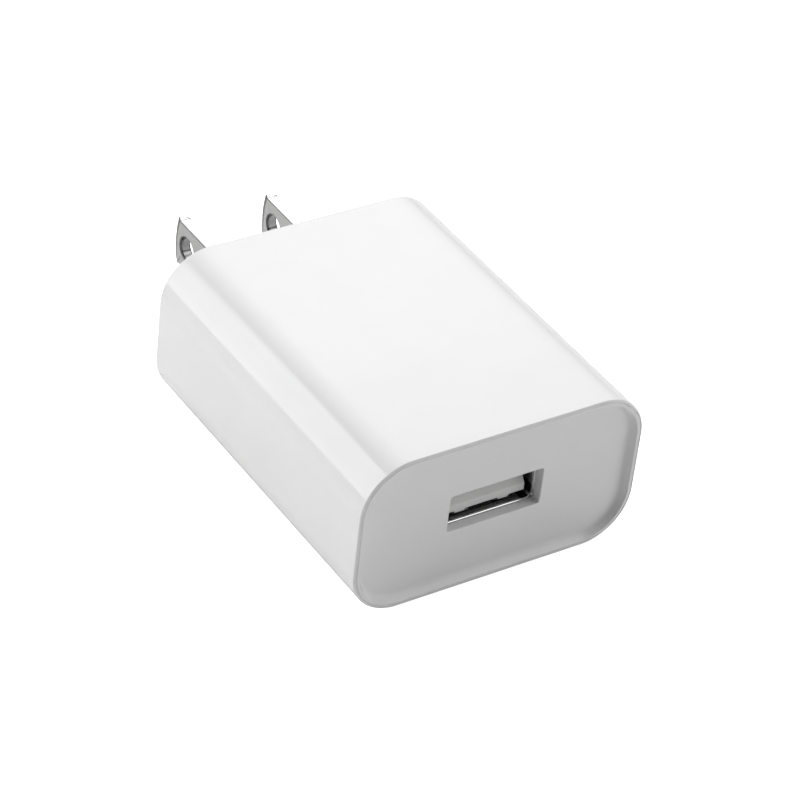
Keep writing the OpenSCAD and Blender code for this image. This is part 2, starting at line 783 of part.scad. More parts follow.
module usb_tongue() {
    fit = 0.02;
    color("whitesmoke") difference() {
        union() {
            translate([-tongue_w / 2, nose_y, tongue_z0])
                cube([tongue_w, usb_back_y - block_l - nose_y + 0.5, tongue_t]);
            for (x = tongue_rib_x)
                translate([x - tongue_rib_w / 2, nose_y, tongue_z0 - tongue_rib_h])
                    cube([tongue_rib_w, tongue_rib_l, tongue_rib_h + eps]);
            translate([0, 0, port_z]) along_y(usb_back_y - block_l, usb_back_y)
                rounded(usb_w - 2 * fit, usb_h - 2 * fit, usb_corner_r);
        }
        along_x(0, tongue_w + 1)
            polygon([[nose_y - 1, tongue_z1 - nose_slope_h], [nose_y, tongue_z1 - nose_slope_h],
                [nose_y + nose_slope_l, tongue_z1], [nose_y + nose_slope_l, tongue_z1 + 1],
                [nose_y - 1, tongue_z1 + 1]]);
        for (x = contact_x) {
            translate([x - groove_w / 2, nose_y + 0.8, tongue_z1 - groove_d])
                cube([groove_w, usb_back_y - block_l - nose_y - 0.8 + eps, groove_d + 1]);
            translate([x - groove_w / 2, usb_back_y - block_l - 0.5, root_z - 0.15])
                cube([groove_w, block_l / 2 + 0.5 + 0.3, 0.3]);
            translate([x - tail_w / 2 - 0.05, tail_y - 0.2, root_z])
                cube([tail_w + 0.1, 0.4, usb_h]);
        }
    }
}

// The sprung part of one contact, from its root in the tongue to its tip
module contact_finger(x) {
    color("gold") along_x(x, contact_w)
        strip([[root_y, root_z], [crest_y, tongue_z1 + contact_proud - strip_t / 2],
            [tip_y, tongue_z1 - 0.35]], strip_t);
}

module usb_contact_1() contact_finger(contact_x[0]);
module usb_contact_2() contact_finger(contact_x[1]);
module usb_contact_3() contact_finger(contact_x[2]);
module usb_contact_4() contact_finger(contact_x[3]);

module usb_contact_tails() {
    gap = 0.04;
    color("gold") for (x = contact_x) {
        translate([x - contact_w / 2, root_y + strip_t / 2 + gap, root_z - strip_t / 2])
            cube([contact_w, tail_y - root_y - strip_t / 2 - gap + 0.15, strip_t]);
        translate([x - tail_w / 2, tail_y - 0.15, root_z - strip_t / 2])
            cube([tail_w, 0.3, board_z + board_t + 0.9 - root_z + strip_t / 2]);
    }
}

// A retention spring: a tab cut from the shell's sheet, bent inwards
module retention_spring(x) {
    mid = usb_floor_z - usb_sheet / 2;
    color("silver") along_x(x, spring_w)
        strip([[spring_root_y + usb_sheet / 2, mid], [spring_crest_y, mid + spring_proud],
            [spring_end_y, mid + 0.1]], usb_sheet);
}

module usb_spring_left() retention_spring(-spring_x);
module usb_spring_right() retention_spring(spring_x);

front_shell();
rear_cover();
blade_left();
blade_right();
blade_retainer();
mains_spring_left();
mains_spring_right();
circuit_board();
solder_joints();
fusible_resistor();
resistor_leads();
resistor_sleeve();
bridge_rectifier();
bridge_leads();
input_capacitor_left();
input_capacitor_right();
output_capacitor();
capacitor_sleeves();
capacitor_bungs();
capacitor_leads();
choke_core();
choke_winding();
choke_sleeve();
transformer_core_front();
transformer_core_rear();
transformer_former();
primary_winding();
secondary_winding();
winding_tape();
transformer_pins();
safety_capacitor();
safety_capacitor_leads();
controller_chip();
controller_leads();
output_diode();
diode_leads();
chip_resistors();
chip_capacitors();
chip_ends();
insulation_sheet();
usb_shell();
usb_tongue();
usb_contact_1();
usb_contact_2();
usb_contact_3();
usb_contact_4();
usb_contact_tails();
usb_spring_left();
usb_spring_right();
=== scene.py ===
"""A USB wall charger: the looks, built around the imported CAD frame."""
import math

import bmesh
import bpy
from mathutils import Matrix, Vector


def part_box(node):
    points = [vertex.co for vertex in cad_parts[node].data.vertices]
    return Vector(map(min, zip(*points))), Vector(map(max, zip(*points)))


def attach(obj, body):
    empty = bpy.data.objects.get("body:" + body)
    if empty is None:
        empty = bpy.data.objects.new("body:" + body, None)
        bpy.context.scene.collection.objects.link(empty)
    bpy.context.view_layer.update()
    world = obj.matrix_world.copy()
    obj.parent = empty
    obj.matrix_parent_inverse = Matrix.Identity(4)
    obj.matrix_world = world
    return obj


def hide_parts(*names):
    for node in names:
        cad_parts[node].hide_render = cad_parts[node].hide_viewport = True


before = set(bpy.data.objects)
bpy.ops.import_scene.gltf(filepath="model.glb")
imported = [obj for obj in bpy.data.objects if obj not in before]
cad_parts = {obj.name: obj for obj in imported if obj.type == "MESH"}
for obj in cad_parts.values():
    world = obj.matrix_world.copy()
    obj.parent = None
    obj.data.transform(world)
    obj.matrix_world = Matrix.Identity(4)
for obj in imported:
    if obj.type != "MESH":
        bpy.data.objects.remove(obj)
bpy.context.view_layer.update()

MM = 0.001


# ---------- dimensions, worked out from the frame ----------

CASE_LO, CASE_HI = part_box("front_shell")
CASE_W = CASE_HI[0] - CASE_LO[0]
CASE_H = CASE_HI[2] - CASE_LO[2]
CASE_Z = (CASE_HI[2] + CASE_LO[2]) / 2
FRONT_Y = CASE_LO[1]
EDGE_R = 6.6 * MM
WALL = 1.6 * MM

# the front rim: how far in it reaches, and the groove in it
CHAMFER = 0.22 * MM
RIM_IN = 0.78 * MM
GROOVE_IN = 0.25 * MM
GROOVE_W = 0.18 * MM
GROOVE_D = 0.16 * MM
# the recess inside the rim, down to the front panel
RECESS = 1.05 * MM
COVE_WALL = 0.42 * MM
COVE_BEND = 0.5 * MM
PANEL_Y = FRONT_Y + RECESS
PANEL_T = 1.3 * MM
PANEL_BACK_Y = PANEL_Y + PANEL_T

# the rear cover, and the rebate in the case that it sits in
COVER_T = 2.0 * MM
SKIRT_L = 3.0 * MM
REBATE = 0.7 * MM
SEAM = 0.1 * MM
BOSS_W = 4.4 * MM
BOSS_H = 9.8 * MM

# the outlet blades: their tips are bowed by TIP_RISE and bevelled
BLADE_H = 6.3 * MM
TIP_RISE = 0.4 * MM
TIP_BEVEL = 0.35 * MM
TIP_BEVEL_L = 1.0 * MM
HOLE_R = 1.6 * MM
HOLE_EDGE = 0.14 * MM
HOLE_BACK = 3.4 * MM
BLADE_ROOT_Y = -COVER_T - SKIRT_L

# the front panel's opening, and the USB receptacle behind it
PORT_W = 12.9 * MM
PORT_H = 5.2 * MM
PORT_R = 0.4 * MM
PORT_Z = CASE_Z - 0.1 * MM
USB_W = 12.5 * MM
USB_H = 5.12 * MM
USB_SHEET = 0.3 * MM
USB_R = 0.5 * MM
USB_FRONT_Y = PANEL_BACK_Y + 0.1 * MM
USB_BACK_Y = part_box("usb_shell")[1][1]
USB_FLOOR_Z = PORT_Z - USB_H / 2
NOSE_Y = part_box("usb_tongue")[0][1]
TONGUE_Z0 = USB_FLOOR_Z + 0.8 * MM
TONGUE_Z1 = TONGUE_Z0 + 1.84 * MM
CONTACT_X = [x * MM for x in (-3.5, -1.0, 1.0, 3.5)]

# how far a holding row stands from a bend, to keep the flat faces' shading flat
HOLD = 0.04 * MM
# steps round each corner of the case's rings and of the receptacle's
CASE_ARC = 32
USB_ARC = 10


# ---------- node materials ----------

class Nodes:
    """A short way to build a material's node tree."""

    def __init__(self, name):
        self.material = bpy.data.materials.new(name)
        self.material.use_nodes = True
        self.tree = self.material.node_tree
        self.shader = self.tree.nodes["Principled BSDF"]

    def node(self, kind):
        return self.tree.nodes.new(kind)

    def link(self, out, into):
        self.tree.links.new(out, into)

    def set(self, **values):
        for key, value in values.items():
            self.shader.inputs[key.replace("_", " ")].default_value = value

    def place(self, scale):
        """Object coordinates in metres, times scale."""
        coords = self.node("ShaderNodeTexCoord")
        mapping = self.node("ShaderNodeMapping")
        mapping.inputs["Scale"].default_value = scale
        self.link(coords.outputs["Object"], mapping.inputs["Vector"])
        return mapping.outputs["Vector"]

    def noise(self, size, stretch=(1, 1, 1), detail=3.0, rough=0.5):
        """Noise whose grain is about size metres."""
        made = self.node("ShaderNodeTexNoise")
        made.inputs["Scale"].default_value = 1.0 / size
        made.inputs["Detail"].default_value = detail
        made.inputs["Roughness"].default_value = rough
        self.link(self.place(stretch), made.inputs["Vector"])
        return made.outputs["Fac"]

    def spread(self, value, low, high):
        """Maps most of a noise's range, 0.3 to 0.7, to low..high."""
        made = self.node("ShaderNodeMapRange")
        made.inputs["From Min"].default_value = 0.3
        made.inputs["From Max"].default_value = 0.7
        made.inputs["To Min"].default_value = low
        made.inputs["To Max"].default_value = high
        self.link(value, made.inputs["Value"])
        return made.outputs["Result"]

    def ramp(self, value, stops):
        made = self.node("ShaderNodeValToRGB")
        ramp = made.color_ramp
        while len(ramp.elements) < len(stops):
            ramp.elements.new(0.5)
        for element, (place, colour) in zip(ramp.elements, stops):
            element.position = place
            element.color = (*colour, 1.0)
        self.link(value, made.inputs["Fac"])
        return made.outputs["Color"]

    def bump(self, value, height):
        made = self.node("ShaderNodeBump")
        made.inputs["Distance"].default_value = height
        made.inputs["Strength"].default_value = 1.0
        self.link(value, made.inputs["Height"])
        return made.outputs["Normal"]


def tint(colour, factor):
    return tuple(min(1.0, channel * factor) for channel in colour)


def moulded(name, colour, rough, grain, height):
    """Moulded plastic: a faint grain, faint colour drift and patchy polish."""
    n = Nodes(name)
    drift = n.noise(6 * MM, detail=2.0)
    n.link(n.ramp(drift, [(0.35, tint(colour, 0.993)), (0.65, tint(colour, 1.005))]),
           n.shader.inputs["Base Color"])
    n.link(n.spread(n.noise(2.2 * MM, detail=4.0), rough * 0.9, rough * 1.12),
           n.shader.inputs["Roughness"])
    n.link(n.bump(n.noise(grain, detail=2.0), height), n.shader.inputs["Normal"])
    n.set(Specular_IOR_Level=0.5, IOR=1.5)
    return n.material


def metal(name, colour, rough, stretch=(1, 1, 1), grain=0.25 * MM, height=0.002 * MM):
    """Bare or plated metal, streaked along the axes that stretch makes small."""
    n = Nodes(name)
    streaks = n.noise(grain, stretch, detail=5.0, rough=0.6)
    n.link(n.ramp(streaks, [(0.3, tint(colour, 0.93)), (0.7, tint(colour, 1.05))]),
           n.shader.inputs["Base Color"])
    n.link(n.spread(n.noise(1.6 * MM, detail=4.0), rough * 0.8, rough * 1.25),
           n.shader.inputs["Roughness"])
    n.link(n.bump(streaks, height), n.shader.inputs["Normal"])
    n.set(Metallic=1.0)
    return n.material


# ---------- mesh building ----------

def finish_mesh(name, mesh_data, material, sharp=35.0):
    """Turns a bmesh into a smooth-shaded object with sharp edges kept."""
    bmesh.ops.remove_doubles(mesh_data, verts=mesh_data.verts, dist=1e-7)
    bmesh.ops.recalc_face_normals(mesh_data, faces=mesh_data.faces)
    mesh = bpy.data.meshes.new(name)
    mesh_data.to_mesh(mesh)
    mesh_data.free()
    mesh.polygons.foreach_set("use_smooth", [True] * len(mesh.polygons))
    mesh.set_sharp_from_angle(angle=math.radians(sharp))
    made = bpy.data.objects.new(name, mesh)
    bpy.context.scene.collection.objects.link(made)
    made.data.materials.append(material)
    return made


def settle(piece):
    """Applies a piece's modifiers, so that its mesh is final."""
    graph = bpy.context.evaluated_depsgraph_get()
    mesh = bpy.data.meshes.new_from_object(piece.evaluated_get(graph))
    piece.modifiers.clear()
    old, piece.data = piece.data, mesh
    mesh.name = piece.name
    bpy.data.meshes.remove(old)


def soften(piece, width, angle=35.0, edge_skin=None):
    """Rounds a piece's sharp edges and weights its normals by face area."""
    bevel = piece.modifiers.new("edge", "BEVEL")
    bevel.width = width
    bevel.segments = 2
    bevel.limit_method = "ANGLE"
    bevel.angle_limit = math.radians(angle)
    bevel.use_clamp_overlap = True
    if edge_skin is not None:
        bevel.material = edge_skin
    weigh(piece)


def weigh(piece):
    """Flat faces stay flat next to rounded edges."""
    weight = piece.modifiers.new("normals", "WEIGHTED_NORMAL")
    weight.keep_sharp = True
    weight.weight = 100
    settle(piece)


def cut(piece, cutter):
    """Takes cutter out of piece."""
    boolean = piece.modifiers.new("cut", "BOOLEAN")
    boolean.operation = "DIFFERENCE"
    boolean.solver = "EXACT"
    boolean.object = cutter
    settle(piece)
    mesh = cutter.data
    bpy.data.objects.remove(cutter)
    bpy.data.meshes.remove(mesh)


def rounded_ring(w, h, r, y, z0, arc):
    """Points of a rounded rectangle at depth y, anticlockwise seen from the front."""
    points = []
    for quarter in range(4):
        sx = 1 if quarter in (0, 3) else -1
        sz = 1 if quarter in (0, 1) else -1
        for step in range(arc + 1):
            a = math.radians(90 * (quarter + step / arc))
            points.append(Vector((sx * (w / 2 - r) + r * math.cos(a), y,
                                  z0 + sz * (h / 2 - r) + r * math.sin(a))))
    return points


def loft(rings, closed=False, caps=False):
    """Faces between rings with the same number of points."""
    made = bmesh.new()
    rows = [[made.verts.new(p) for p in ring] for ring in rings]
    pairs = list(zip(rows, rows[1:] + rows[:1])) if closed else list(zip(rows, rows[1:]))
    count = len(rows[0])
    for low, high in pairs:
        for i in range(count):
            j = (i + 1) % count
            made.faces.new((low[i], low[j], high[j], high[i]))
    if caps:
        made.faces.new(rows[0])
        made.faces.new(list(reversed(rows[-1])))
    return made


def arc_points(centre, radius, start, stop, steps):
    """Points (a, b) on an arc, from angle start to stop in degrees."""
    return [(centre[0] + radius * math.cos(math.radians(start + (stop - start) * k / steps)),
             centre[1] + radius * math.sin(math.radians(start + (stop - start) * k / steps)))
            for k in range(steps + 1)]


def rounded_path(corners, reach, steps=6):
    """Points along straight lines whose inner corners are rounded off, reach away from each."""
    path = [Vector(corners[0])]
    for before, corner, after in zip(corners, corners[1:], corners[2:]):
        corner = Vector(corner)
        back, ahead = Vector(before) - corner, Vector(after) - corner
        start = corner + back.normalized() * min(reach, back.length / 2.2)
        stop = corner + ahead.normalized() * min(reach, ahead.length / 2.2)
        for k in range(steps + 1):
            t = k / steps
            path.append(start * (1 - t) ** 2 + corner * 2 * t * (1 - t) + stop * t ** 2)
    path.append(Vector(corners[-1]))
    return [tuple(point) for point in path]


def box_mesh(lo, hi):
    made = bmesh.new()
    bmesh.ops.create_cube(made, size=1.0)
    size = Vector(hi) - Vector(lo)
    middle = (Vector(hi) + Vector(lo)) / 2
    bmesh.ops.transform(made, matrix=Matrix.Translation(middle) @ Matrix.Diagonal((*size, 1)),
                        verts=made.verts)
    return made


def ribbon(name, path, thickness, x0, width, material, bend):
    """A bent strip of sheet: path in (y, z), extruded across x, with rounded bends."""
    smooth = [Vector(point) for point in rounded_path(path, bend)]
    rings = []
    for i, point in enumerate(smooth):
        ahead = smooth[min(i + 1, len(smooth) - 1)] - smooth[max(i - 1, 0)]
        side = Vector((-ahead.y, ahead.x)).normalized() * thickness / 2
        a, b = point + side, point - side
        lo, hi = x0 - width / 2, x0 + width / 2
        rings.append([Vector((lo, *a)), Vector((hi, *a)), Vector((hi, *b)), Vector((lo, *b))])
    piece = finish_mesh(name, loft(rings, caps=True), material)
    soften(piece, 0.03 * MM)
    return piece


def ride(piece, body, slot, *nodes):
    """Puts a finished piece on its body, in place of its CAD nodes, which it hides; slot is not
    used.
    """
    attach(piece, body)
    if nodes:
        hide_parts(*nodes)


# ---------- camera, light and floor ----------

def make_camera():
    """A long lens, above and to the left of the case's front, a little rolled."""
    azimuth, elevation, roll = (math.radians(a) for a in (-36.185, 36.469, 6.859))
    distance = 409.7 * MM
    aim = Vector((0.42, -24.03, 0.54)) * MM
    back = Vector((math.sin(azimuth) * math.cos(elevation),
                   -math.cos(azimuth) * math.cos(elevation), math.sin(elevation)))
    right = Vector((0, 0, 1)).cross(back).normalized()
    up = back.cross(right)
    across = right * math.cos(roll) + up * math.sin(roll)
    upright = up * math.cos(roll) - right * math.sin(roll)
    data = bpy.data.cameras.new("camera")
    data.lens = 153.97
    data.sensor_width = 36.0
    camera = bpy.data.objects.new("camera", data)
    bpy.context.scene.collection.objects.link(camera)
    turn = Matrix((across, upright, back)).transposed().to_4x4()
    camera.matrix_world = Matrix.Translation(aim + back * distance) @ turn
    bpy.context.scene.camera = camera


LIGHT_FAR = 1.2


def softbox(name, direction, axis, spans, radiance, feather):
    """A softbox LIGHT_FAR away: how bright it is, how wide it looks along axis and across it,
    in degrees, and how much of each side (start, end, below, above) fades out."""
    width, height = (2 * LIGHT_FAR * math.tan(math.radians(span / 2)) for span in spans)
    data = bpy.data.lights.new(name, "AREA")
    data.shape = "RECTANGLE"
    data.size, data.size_y = width, height
    data.energy = math.pi * width * height * radiance
    data.use_nodes = True
    tree = data.node_tree
    split = tree.nodes.new("ShaderNodeSeparateXYZ")
    tree.links.new(tree.nodes.new("ShaderNodeNewGeometry").outputs["Parametric"], split.inputs[0])
    fade = None
    for side, share in enumerate(feather):
        ramp = tree.nodes.new("ShaderNodeMapRange")
        ramp.interpolation_type = "SMOOTHSTEP"
        ramp.inputs["From Min"].default_value = side % 2
        ramp.inputs["From Max"].default_value = 1 - share if side % 2 else share
        tree.links.new(split.outputs[side // 2], ramp.inputs["Value"])
        if fade is None:
            fade = ramp.outputs["Result"]
            continue
        both = tree.nodes.new("ShaderNodeMath")
        both.operation = "MULTIPLY"
        tree.links.new(fade, both.inputs[0])
        tree.links.new(ramp.outputs["Result"], both.inputs[1])
        fade = both.outputs[0]
    tree.links.new(fade, tree.nodes["Emission"].inputs["Strength"])
    light = bpy.data.objects.new(name, data)
    bpy.context.scene.collection.objects.link(light)
    away = Vector(direction).normalized()
    along = Vector(axis)
    along = (along - away * along.dot(away)).normalized()
    turn = Matrix((along, away.cross(along), away)).transposed().to_4x4()
    centre = Vector((0, FRONT_Y / 2, CASE_Z))
    light.matrix_world = Matrix.Translation(centre + away * LIGHT_FAR) @ turn
    light.visible_camera = False


def behind(swing):
    """A direction above and behind the case, swing degrees over to its left, and the way it
    swings."""
    back = 0.51
    a = math.radians(swing)
    reach = math.sqrt(1 - back * back)
    return (-reach * math.sin(a), back, reach * math.cos(a)), (-math.cos(a), 0, -math.sin(a))


def make_light():
    """Softboxes behind and above the case, as its fillets mirror them, and one in front."""
    scene = bpy.context.scene
    scene.view_settings.view_transform = "Standard"
    scene.world = bpy.data.worlds.new("studio")
    scene.world.use_nodes = True
    tree = scene.world.node_tree
    room = tree.nodes["Background"]
    room.inputs["Color"].default_value = (1, 1, 1, 1)
    # the room is dim, but white to the camera
    seen = tree.nodes.new("ShaderNodeMapRange")
    seen.inputs["To Min"].default_value = 0.08
    seen.inputs["To Max"].default_value = 1.0
    path = tree.nodes.new("ShaderNodeLightPath")
    tree.links.new(path.outputs["Is Camera Ray"], seen.inputs["Value"])
    tree.links.new(seen.outputs["Result"], room.inputs["Strength"])
    even = (0.3, 0.3, 0.3, 0.3)
    wide_fade = (0.5, 0.5, 0.25, 0.25)
    softbox("back_left", *behind(67.3), (64, 46), 3.2, (0.02, 0.02, 0.15, 0.15))
    # four overlapping boxes make one band that brightens and fades along its length
    for swing, radiance in ((-5, 1.62), (-30, 2.36), (-55, 1.67), (-80, 0.59)):
        softbox("back_right", *behind(swing), (46, 50), radiance, wide_fade)
    softbox("overhead", (0.1, -0.25, 1), (1, 0, 0), (60, 45), 0.33, even)
    softbox("over_right", (0.8, -0.3, 0.9), (0.9, 0, -0.8), (45, 45), 2.11, even)
    softbox("front_right", (0.8, -1, 0.3), (1, 0.8, 0), (41, 28), 2.4, even)


def make_floor():
    """White paper that glows to the camera alone, as a backlit table does."""
    n = Nodes("floor_paper")
    shades = [(0.3, (0.925, 0.925, 0.925)), (0.7, (0.945, 0.945, 0.945))]
    n.link(n.ramp(n.noise(9 * MM, detail=2.0), shades), n.shader.inputs["Base Color"])
    n.set(Roughness=0.9, Specular_IOR_Level=0.1)
    seen = n.node("ShaderNodeLightPath").outputs["Is Camera Ray"]
    n.link(seen, n.shader.inputs["Emission Strength"])
    n.set(Emission_Color=(1, 1, 1, 1))
    reach = 20.0
    below = 0.02 * MM
    made = bmesh.new()
    bmesh.ops.create_circle(made, cap_ends=True, segments=96, radius=reach)
    bmesh.ops.translate(made, verts=made.verts, vec=(0, 0, CASE_LO[2] - below))
    floor = finish_mesh("floor", made, n.material)


# ---------- case ----------

def case_ring(inset, y):
    """The case's outline at depth y, moved in by inset."""
    return rounded_ring(CASE_W - 2 * inset, CASE_H - 2 * inset, EDGE_R - inset, y, CASE_Z, CASE_ARC)


def make_front_shell(plastic):
    """The case and its front panel, one closed surface through rings given as (inset, y)."""
    front = FRONT_Y
    rear_r = 0.25 * MM
    # rear outer edge, then the side walls
    rows = arc_points((rear_r, -rear_r), rear_r, 90, 180, 5)
    rows += [(0, -rear_r - HOLD), (0, front / 2)]
    # front chamfer, grooved rim, its inner edge and the cove down to the panel
    edge_r = 0.04 * MM
    cove_end = RIM_IN + 1.6 * MM
    cove = [(RIM_IN, front), (RIM_IN + COVE_WALL, PANEL_Y), (cove_end, PANEL_Y)]
    turns = [(0, front / 3), (0, front + CHAMFER), (CHAMFER, front), (GROOVE_IN, front),
             (GROOVE_IN + GROOVE_W / 2, front + GROOVE_D), (GROOVE_IN + GROOVE_W, front),
             cove[0], cove[1]]
    rows += rounded_path(turns, edge_r, 4)[1:-1]
    rows += rounded_path(cove, COVE_BEND, 10)[1:]
    rings = [case_ring(inset, y) for inset, y in rows]
    # the front panel's opening
    lip = 0.12 * MM
    flat = 0.6 * MM
    grow = [(flat, PANEL_Y), (lip + HOLD, PANEL_Y)]
    grow += arc_points((lip, PANEL_Y + lip), lip, 270, 180, 5)
    grow += [(0, PANEL_Y + lip + HOLD), (0, PANEL_BACK_Y - HOLD), (0, PANEL_BACK_Y),
             (HOLD, PANEL_BACK_Y), (flat, PANEL_BACK_Y)]
    for out, y in grow:
        w, h, r = PORT_W + 2 * out, PORT_H + 2 * out, PORT_R + out
        rings.append(rounded_ring(w, h, r, y, PORT_Z, CASE_ARC))
    # the inside: panel's back, walls, the step for the rear cover, rear edge
    step_y = -COVER_T
    outer = WALL - REBATE
    bevel = 0.15 * MM
    inside = [(WALL + HOLD, PANEL_BACK_Y), (WALL, PANEL_BACK_Y), (WALL, PANEL_BACK_Y + HOLD),
              (WALL, step_y - HOLD), (WALL, step_y), (WALL - HOLD, step_y), (outer + HOLD, step_y),
              (outer, step_y), (outer, step_y + HOLD), (outer, -bevel),
              (outer - bevel, 0), (outer - bevel - 0.05 * MM, 0), (rear_r + HOLD, 0)]
    rings += [case_ring(inset, y) for inset, y in inside]
    piece = finish_mesh("case_shell", loft(rings, closed=True), plastic, sharp=50)
    ride(piece, "charger", "case_white", "front_shell")


def make_shell_rails(plastic):
    """The four ribs that the board slides between."""
    board_lo, board_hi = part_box("circuit_board")
    inner = CASE_W / 2 - WALL
    thick = 1.0 * MM
    clear = 0.1 * MM
    reach = 1.9 * MM
    sink = 0.2 * MM
    rear_gap = 2.0 * MM
    for side, s in (("left", -1), ("right", 1)):
        for place, z in (("lower", board_lo[2] - clear - thick), ("upper", board_hi[2] + clear)):
            xs = sorted((s * (inner + sink), s * (inner - reach)))
            block = box_mesh((xs[0], board_lo[1], z), (xs[1], board_hi[1] - rear_gap, z + thick))
            rail = finish_mesh(f"board_rail_{side}_{place}", block, plastic)
            soften(rail, 0.12 * MM)
            ride(rail, "charger", "case_white")


def cut_blade_slot(piece, blade, y0, y1, plastic):
    """Cuts the slot that a blade passes through, from y0 to y1."""
    lo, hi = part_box(blade)
    gap = 0.02 * MM
    slot_z = BLADE_H / 2 + gap
    slot = box_mesh((lo[0] - gap, y0, -slot_z), (hi[0] + gap, y1, slot_z))
    cut(piece, finish_mesh("slot", slot, plastic))


def make_rear_cover(plastic):
    """The cover with its skirt, the two bosses around the blades, and the stake."""
    inset = WALL - REBATE + SEAM
    edge = 0.2 * MM
    skirt = WALL + SEAM
    skirt_t = 1.0 * MM
    rows = arc_points((inset + edge, -edge), edge, 90, 180, 5)
    rows += [(inset, -edge - HOLD), (inset, -COVER_T)]
    rows += [(skirt, -COVER_T), (skirt, -COVER_T - SKIRT_L), (skirt + skirt_t, -COVER_T - SKIRT_L),
             (skirt + skirt_t, -COVER_T)]
    piece = finish_mesh("cover_plate", loft([case_ring(a, b) for a, b in rows], caps=True), plastic)
    for blade in ("blade_left", "blade_right"):
        cut_blade_slot(piece, blade, -4 * MM, MM, plastic)
    soften(piece, 0.07 * MM, angle=50)
    ride(piece, "charger", "cover_white", "rear_cover")
    for blade in ("blade_left", "blade_right"):
        lo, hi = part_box(blade)
        middle = (lo[0] + hi[0]) / 2
        block = box_mesh((middle - BOSS_W / 2, BLADE_ROOT_Y, -BOSS_H / 2),
                         (middle + BOSS_W / 2, -COVER_T, BOSS_H / 2))
        boss = finish_mesh(f"{blade}_boss", block, plastic)
        cut_blade_slot(boss, blade, BLADE_ROOT_Y - MM, 0, plastic)
        soften(boss, 0.15 * MM, angle=50)
        ride(boss, "charger", "cover_white")
    make_stake(plastic)


def make_stake(plastic):
    """The post between the blades, its end melted over the retainer."""
    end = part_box("rear_cover")[0][1]
    profile = [(1.2 * MM, -COVER_T), (1.2 * MM, end + 0.75 * MM), (1.75 * MM, end + 0.45 * MM),
               (1.9 * MM, end + 0.3 * MM), (1.7 * MM, end + 0.12 * MM), (1.0 * MM, end)]
    turns = [math.tau * k / 40 for k in range(40)]
    rings = [[Vector((radius * math.cos(a), y, radius * math.sin(a))) for a in turns]
             for radius, y in profile]
    stake = finish_mesh("cover_stake", loft(rings, caps=True), plastic)
    soften(stake, 0.05 * MM)
    ride(stake, "charger", "cover_white")


# ---------- blades ----------

# steps along each side of the blade's drilled end, and across its tip and its cut
ALONG = 8
ACROSS = 16


def blade_outline(tip_y, cut_y):
    """The outline of the blade's end, from its tip to a cut at cut_y, as (y, z)."""
    half = BLADE_H / 2
    radius = (half ** 2 + TIP_RISE ** 2) / (2 * TIP_RISE)
    swing = math.degrees(math.asin(half / radius))
    tip = [(tip_y - radius + y, z) for y, z in arc_points((0, 0), radius, -swing, swing, ACROSS)]
    length = tip[0][0] - cut_y
    top = [(tip[0][0] - length * k / ALONG, half) for k in range(1, ALONG + 1)]
    cross = [(cut_y, half - BLADE_H * k / ACROSS) for k in range(1, ACROSS + 1)]
    bottom = [(cut_y + length * k / ALONG, -half) for k in range(1, ALONG)]
    return tip + top + cross + bottom


def bridge(made, inner, outer, skin=0):
    """Faces between two closed rings of vertices."""
    for i in range(len(inner)):
        j = (i + 1) % len(inner)
        made.faces.new((inner[i], inner[j], outer[j], outer[i])).material_index = skin


